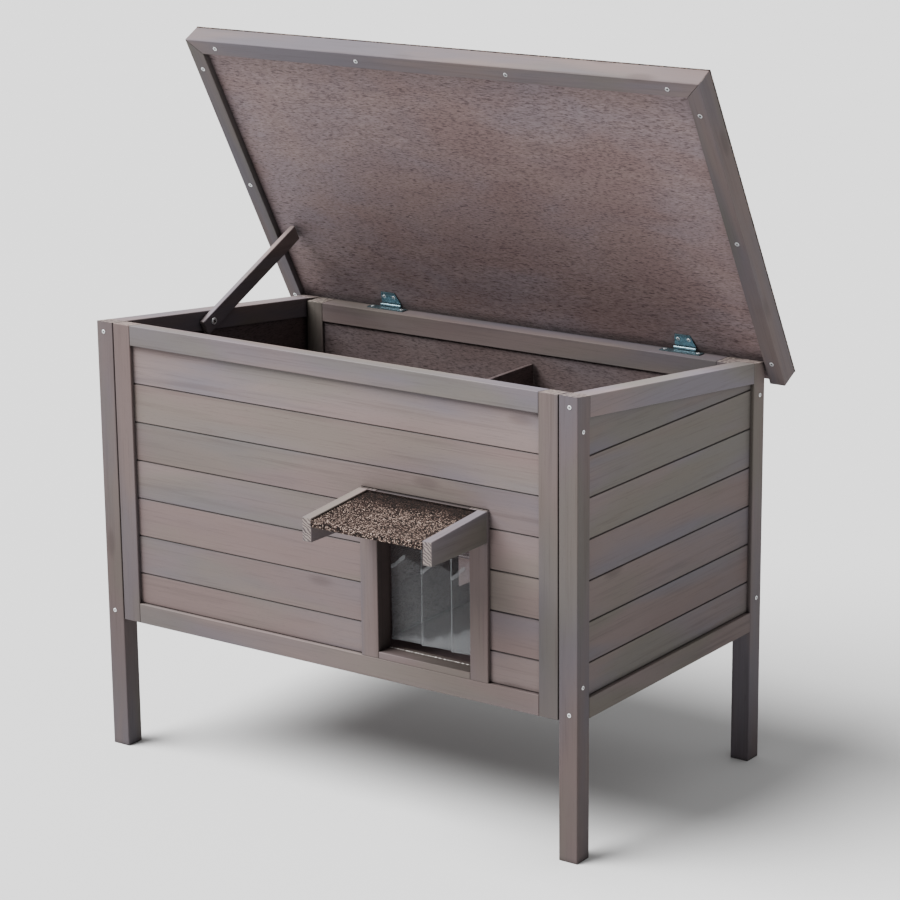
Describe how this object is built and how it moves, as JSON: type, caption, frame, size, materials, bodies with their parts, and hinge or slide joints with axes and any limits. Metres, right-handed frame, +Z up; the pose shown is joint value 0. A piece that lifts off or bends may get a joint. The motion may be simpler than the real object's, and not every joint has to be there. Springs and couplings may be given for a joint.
{
  "type": "nesting box",
  "caption": "Raised wooden nesting box on legs: hinged felted lid propped by a swinging stay, boarded walls, strip-curtained doorway under a small awning, floor, linings and a partition inside.",
  "frame": {"origin": "on the ground under the middle of the whole object with its lid propped open", "axes": "+Z up, -Y the front with the doorway, +X the right side as seen from the front"},
  "size_m": [0.896, 0.6662, 1.0557],
  "materials": {
    "frame_wood": "planed softwood with a thin grey-taupe wash, grain showing",
    "boards": "V-jointed softwood boards with a thin grey-taupe wash",
    "plywood": "thin plywood, washed grey-brown",
    "roofing_felt": "mineral-surfaced bitumen roofing felt, brown granules",
    "clear_pvc": "clear flexible PVC strip, glossy",
    "zinc_steel": "zinc-plated steel"
  },
  "bodies": {
    "house": {"leg_front_left": "frame_wood", "leg_front_right": "frame_wood", "leg_back_left": "frame_wood", "leg_back_right": "frame_wood", "front_stile_left": "frame_wood", "front_stile_right": "frame_wood", "front_top_rail": "frame_wood", "front_bottom_rail": "frame_wood", "left_top_rail": "frame_wood", "left_bottom_rail": "frame_wood", "right_top_rail": "frame_wood", "right_bottom_rail": "frame_wood", "back_top_rail": "frame_wood", "back_bottom_rail": "frame_wood", "back_stiles": "frame_wood", "floor_bearers": "frame_wood", "door_post_left": "frame_wood", "door_post_right": "frame_wood", "door_head": "frame_wood", "door_sill": "frame_wood", "awning_cheek_left": "frame_wood", "awning_cheek_right": "frame_wood", "curtain_batten": "frame_wood", "front_plank_1": "boards", "front_plank_2": "boards", "front_plank_3": "boards", "front_plank_4": "boards", "front_plank_5": "boards", "front_plank_6": "boards", "front_plank_7": "boards", "left_planks": "boards", "right_planks": "boards", "back_planks": "boards", "front_lining": "plywood", "left_lining": "plywood", "right_lining": "plywood", "back_lining": "plywood", "floor_panel": "plywood", "partition": "plywood", "awning_deck": "plywood", "awning_felt": "roofing_felt", "hinge_base_leaves": "zinc_steel", "hinge_pins": "zinc_steel", "hinge_screws_house": "zinc_steel", "stay_pivot_screw": "zinc_steel", "frame_screws": "zinc_steel"},
    "lid": {"lid_front_rim": "frame_wood", "lid_left_rim": "frame_wood", "lid_right_rim": "frame_wood", "lid_back_rim": "frame_wood", "lid_panel": "plywood", "lid_board": "plywood", "lid_felt": "roofing_felt", "lid_screws": "zinc_steel", "hinge_lid_leaves": "zinc_steel", "hinge_screws_lid": "zinc_steel"},
    "stay": {"lid_stay": "frame_wood"},
    "strip_left": {"curtain_strip_left": "clear_pvc"},
    "strip_middle": {"curtain_strip_middle": "clear_pvc"},
    "strip_right": {"curtain_strip_right": "clear_pvc"}
  },
  "joints": [
    {"name": "lid_hinge", "type": "hinge", "parent": "house", "child": "lid", "pos_m": [0, 0.28992, 0.6094], "axis": [1, 0, 0], "range_deg": [0, 55]},
    {"name": "stay_swing", "type": "hinge", "parent": "house", "child": "stay", "pos_m": [-0.387, 0.01792, 0.61983], "axis": [1, 0, 0], "range_deg": [-138, 0]},
    {"name": "strip_left_swing", "type": "hinge", "parent": "house", "child": "strip_left", "pos_m": [0.11423, -0.17008, 0.4325], "axis": [1, 0, 0], "range_deg": [-80, 80]},
    {"name": "strip_middle_swing", "type": "hinge", "parent": "house", "child": "strip_middle", "pos_m": [0.1655, -0.17008, 0.4325], "axis": [1, 0, 0], "range_deg": [-80, 80]},
    {"name": "strip_right_swing", "type": "hinge", "parent": "house", "child": "strip_right", "pos_m": [0.21677, -0.17008, 0.4325], "axis": [1, 0, 0], "range_deg": [-80, 80]}
  ],
  "couplings": [
    {"joint": "stay_swing", "follows": "lid_hinge", "ratio": -2.5}
  ]
}
